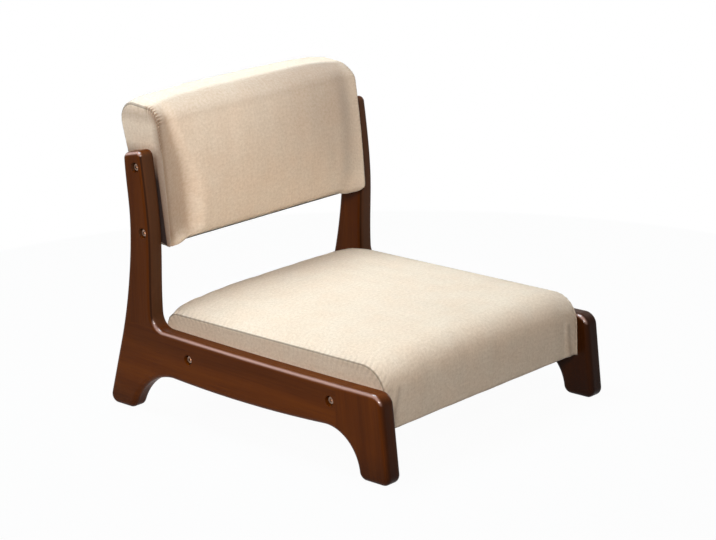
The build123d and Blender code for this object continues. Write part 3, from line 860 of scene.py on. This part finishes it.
def back_gather(along, off, points):
    """Gathers 5 mm apart where the seam turns round the brow, each as long as
    its own share of a slow sine wave says."""
    high = points[:, 2] / MM
    brow = ease(high, 380, 408) * (1 - ease(points[:, 1] / MM, 188, 212))
    brow = brow * np.where(points[:, 0] > 0, 0.25, 1.0)
    long = 8.5 + 2.0 * np.sin(along / 7.3)
    size = 0.10 + 0.62 * brow
    return size * np.sin(along * 2 * np.pi / 5.0) * np.exp(-((np.abs(off) / long) ** 2))


# Folds, each as its line in x, u and z, its height and its width.
BACK_CREASES = [
    ([(196, 436, 257), (193, 434, 271), (195, 433, 295)], 1.8, 3.2),
    ([(203, 438, 259), (200, 436, 278)], 0.9, 2.2),
    ([(-196, 436, 257), (-190, 434, 273), (-178, 431, 291)], 1.0, 4.0),
    ([(180, 437, 260), (150, 433, 265)], 0.7, 4.0),
]
SEAT_CREASES = [
    ([(-200, 30, 73), (-192, 25, 95), (-186, 23, 123)], 0.9, 5.0),
    ([(196, 30, 69), (190, 25, 91), (188, 24, 115)], 1.0, 5.0),
    ([(-205, 455, 153), (-185, 452, 163), (-160, 448, 167)], 1.0, 6.0),
]
make_pad(
    "seat_pad", seat_wrap, 66, 8, 0.0,
    ("seat_foam", "seat_cover", "seat_cover_right_side", "seat_cover_left_side"),
    seat_gather, SEAT_CREASES,
)
make_pad(
    "back_pad", back_wrap, 9, 9, 4.0,
    ("back_foam", "back_cover", "back_cover_right_side", "back_cover_left_side"),
    back_gather, BACK_CREASES, hollow=True,
)


# ---- dust cloths and staples ----------------------------------------------
def dust_sheet(name, node, low, high, under):
    """A stretched sheet below a pad: a grid at height under that hangs by
    0.8 (1 - a^2)(1 - b^2) in its middle, with a hem turned in round its edge
    and scallops between its staples, thick by twice the cloth."""
    columns = 97
    rows = int(columns * (high[1] - low[1]) / (high[0] - low[0])) // 2 * 2 + 9
    a, b = np.meshgrid(np.linspace(-1, 1, columns), np.linspace(-1, 1, rows))
    x = (low[0] + high[0]) / 2 + a * (high[0] - low[0]) / 2
    u = (low[1] + high[1]) / 2 + b * (high[1] - low[1]) / 2
    from_side = np.minimum(x - low[0], high[0] - x)
    from_end = np.minimum(u - low[1], high[1] - u)
    edge = np.minimum(from_side, from_end)
    run = np.where(from_side < from_end, u, x)
    between_staples = 1 - np.cos(2 * np.pi * run / STAPLE_PITCH)
    scallop = 0.35 * between_staples * np.exp(-edge / 9)
    hem = 0.7 * (1 - ease(edge, 9.0, 12.0))
    sag = 0.8 * (1 - a**2) * (1 - b**2)
    z = under - 0.5 - sag - scallop - hem
    inward = 0.8 * between_staples * np.exp(-edge / 3)
    x = x - np.sign(a) * inward * (from_side <= from_end)
    u = u - np.sign(b) * inward * (from_side > from_end)
    faces = corners_of(np.arange(rows * columns).reshape(rows, columns))[:, ::-1]
    obj = new_piece(name, place(np.stack([x, u, z], -1)).reshape(-1, 3), faces.tolist(),
                    black_cloth)
    solid = obj.modifiers.new("thick", "SOLIDIFY")
    solid.thickness, solid.offset = 0.35 * MM, -1
    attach(obj, "root")
    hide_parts(node)


def staple_rows(name, low, high, under, seed):
    """Wire staples round a dust cloth: each a bar 10 long and 1.2 wide whose
    crown is raised and whose two ends turn into the wood, a little askew."""
    chance = np.random.default_rng(seed)
    spots = []
    for k, (first, last) in enumerate(((low[0], high[0]), (low[1], high[1]))):
        count = max(2, round((last - first - 24) / STAPLE_PITCH))
        for along in np.linspace(first + 12, last - 12, count + 1):
            for end in (low[1 - k] + 5.0, high[1 - k] - 5.0):
                spots.append((along, end, 0.0) if k == 0 else (end, along, np.pi / 2))
    spots = np.array(spots)
    turn = spots[:, 2] + chance.normal(0, 0.09, len(spots))
    profile = np.array([
        (-5.0, 1.6), (-5.0, 0.1), (-4.4, -0.45), (4.4, -0.45), (5.0, 0.1), (5.0, 1.6)
    ])
    ring = np.array([(-0.6, -0.3), (0.6, -0.3), (0.6, 0.3), (-0.6, 0.3)])
    local = np.zeros((len(profile), 4, 3))
    local[..., 0] = profile[:, None, 0] + np.sign(profile[:, None, 0]) * ring[None, :, 1]
    local[..., 1] = ring[None, :, 0]
    local[..., 2] = profile[:, None, 1] + ring[None, :, 1] * (np.abs(profile[:, None, 0]) < 4.6)
    local = local.reshape(-1, 3)
    cos, sin = np.cos(turn)[:, None], np.sin(turn)[:, None]
    points = np.stack([
        spots[:, :1] + chance.normal(0, 0.7, (len(spots), 1)) + local[None, :, 0] * cos
        - local[None, :, 1] * sin,
        spots[:, 1:2] + local[None, :, 0] * sin + local[None, :, 1] * cos,
        under - 1.6 + np.repeat(local[None, :, 2], len(spots), 0),
    ], -1)
    quads = []
    for k in range(len(profile) - 1):
        for j in range(4):
            here, beside = 4 * k + j, 4 * k + (j + 1) % 4
            quads.append((here, beside, beside + 4, here + 4))
    quads += [(3, 2, 1, 0), tuple(4 * len(profile) - 4 + np.arange(4))]
    quads = np.array(quads)
    faces = (quads[None] + (np.arange(len(spots)) * len(local))[:, None, None]).reshape(-1, 4)
    obj = new_piece(name, place(points.reshape(-1, 3)), faces.tolist(), steel,
                    smooth=False)
    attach(obj, "root")


seat_low, seat_high = (-201, SEAT_FRONT + 14), (201, SEAT_REAR - 9)
dust_sheet("seat_dust_sheet", "seat_dust_cloth", seat_low, seat_high, SEAT_UNDER)
staple_rows("seat_staples", seat_low, seat_high, SEAT_UNDER, 5)
back_low, back_high = (-203, BACK_FRONT + 14), (203, BACK_FRONT + BACK_THICK - 4)
dust_sheet("back_dust_sheet", "back_dust_cloth", back_low, back_high, BACK_UNDER)
staple_rows("back_staples", back_low, back_high, BACK_UNDER, 6)


# ---- room, light and camera -----------------------------------------------
def seen_directly(tree):
    """1 for the rays that show a surface itself: camera, glossy, transmission."""
    rays = add(tree, "LightPath").outputs
    seen = calc(tree, "MAXIMUM", rays["Is Camera Ray"], rays["Is Glossy Ray"])
    return calc(tree, "MAXIMUM", seen, rays["Is Transmission Ray"])


def make_floor():
    """A pale floor, seen white far away and shaded under the chair."""
    material, tree, shader = new_material(
        "pale floor", Base_Color=(0.40, 0.40, 0.40, 1), Roughness=0.9, Specular_IOR_Level=0.1
    )
    glow = add(tree, "Emission", Color=(1, 1, 1, 1), Strength=1.0)
    seen = seen_directly(tree)
    distance = add(tree, "VectorMath", operation="LENGTH",
                   i0=add(tree, "TexCoord").outputs["Object"])
    far = ramp(tree, distance.outputs["Value"], 0.45, 1.1)
    share = times(tree, seen, calc(tree, "MAXIMUM", far, 0.965))
    mix = add(tree, "MixShader", i0=share, i1=shader.outputs[0], i2=glow.outputs[0])
    tree.links.new(mix.outputs[0], tree.nodes["Material Output"].inputs[0])
    size = 6.0
    corners = np.array([(-size, -size, 0), (size, -size, 0), (size, size, 0), (-size, size, 0)])
    new_piece("floor", corners, [[0, 1, 2, 3]], material, smooth=False)


AMBIENT = 0.095


def make_world():
    """Even white light, which the camera and glossy paint also see as white."""
    world = bpy.data.worlds.new("studio")
    bpy.context.scene.world = world
    world.use_nodes = True
    tree = world.node_tree
    background = tree.nodes["Background"]
    seen = seen_directly(tree)
    colour = blend_colour(tree, seen, (1.0, 0.78, 0.54, 1), (1, 1, 1, 1))
    tree.links.new(colour, background.inputs["Color"])
    strength = calc(tree, "MULTIPLY_ADD", seen, 1.0 - AMBIENT, AMBIENT)
    tree.links.new(strength, background.inputs["Strength"])


def lamp(name, where, aim, size, power, colour, spread=180.0):
    """A rectangular soft light that faces aim."""
    data = bpy.data.lights.new(name, "AREA")
    data.spread = np.radians(spread)
    data.shape = "RECTANGLE"
    data.size, data.size_y = size
    data.energy = power
    data.color = colour
    obj = bpy.data.objects.new(name, data)
    bpy.context.collection.objects.link(obj)
    back_to = np.array(where, float) - np.array(aim, float)
    back_to /= np.linalg.norm(back_to)
    across = np.cross((0, 0, 1), back_to)
    across /= np.linalg.norm(across)
    up = np.cross(back_to, across)
    turn = Matrix(np.stack([across, up, back_to], 1).tolist()).to_4x4()
    turn.translation = where
    obj.matrix_world = turn


def make_camera():
    data = bpy.data.cameras.new("camera")
    camera = bpy.data.objects.new("camera", data)
    bpy.context.collection.objects.link(camera)
    data.sensor_width = 36.0
    data.lens = 114.837
    data.shift_x, data.shift_y = 0.0009, -0.1401
    data.clip_end = 60.0
    turn = Matrix((
        (0.67633215, 0.19302551, -0.71085581),
        (-0.73614396, 0.14329045, -0.66148312),
        (-0.02582427, 0.97067451, 0.23900650),
    )).to_4x4()
    turn.translation = (-2.357929, -2.209222, 1.146779)
    camera.matrix_world = turn
    bpy.context.scene.camera = camera


make_floor()
make_world()
lamp("overhead softbox", (-0.3, 0.42, 2.0), (0.0, 0.0, 0.2), (1.0, 1.0), 49, (0.72, 0.88, 1.0))
lamp("key softbox", (-1.60, -1.34, 1.34), (0.02, 0.17, 0.40), (0.5, 0.5), 4.5,
     (1.0, 0.96, 0.93), spread=52.0)
lamp("rim softbox", (1.9, 0.0, 0.9), (0.1, 0.1, 0.35), (0.6, 0.6), 7, (1.0, 0.96, 0.92))
make_camera()
bpy.context.scene.view_settings.view_transform = "Standard"
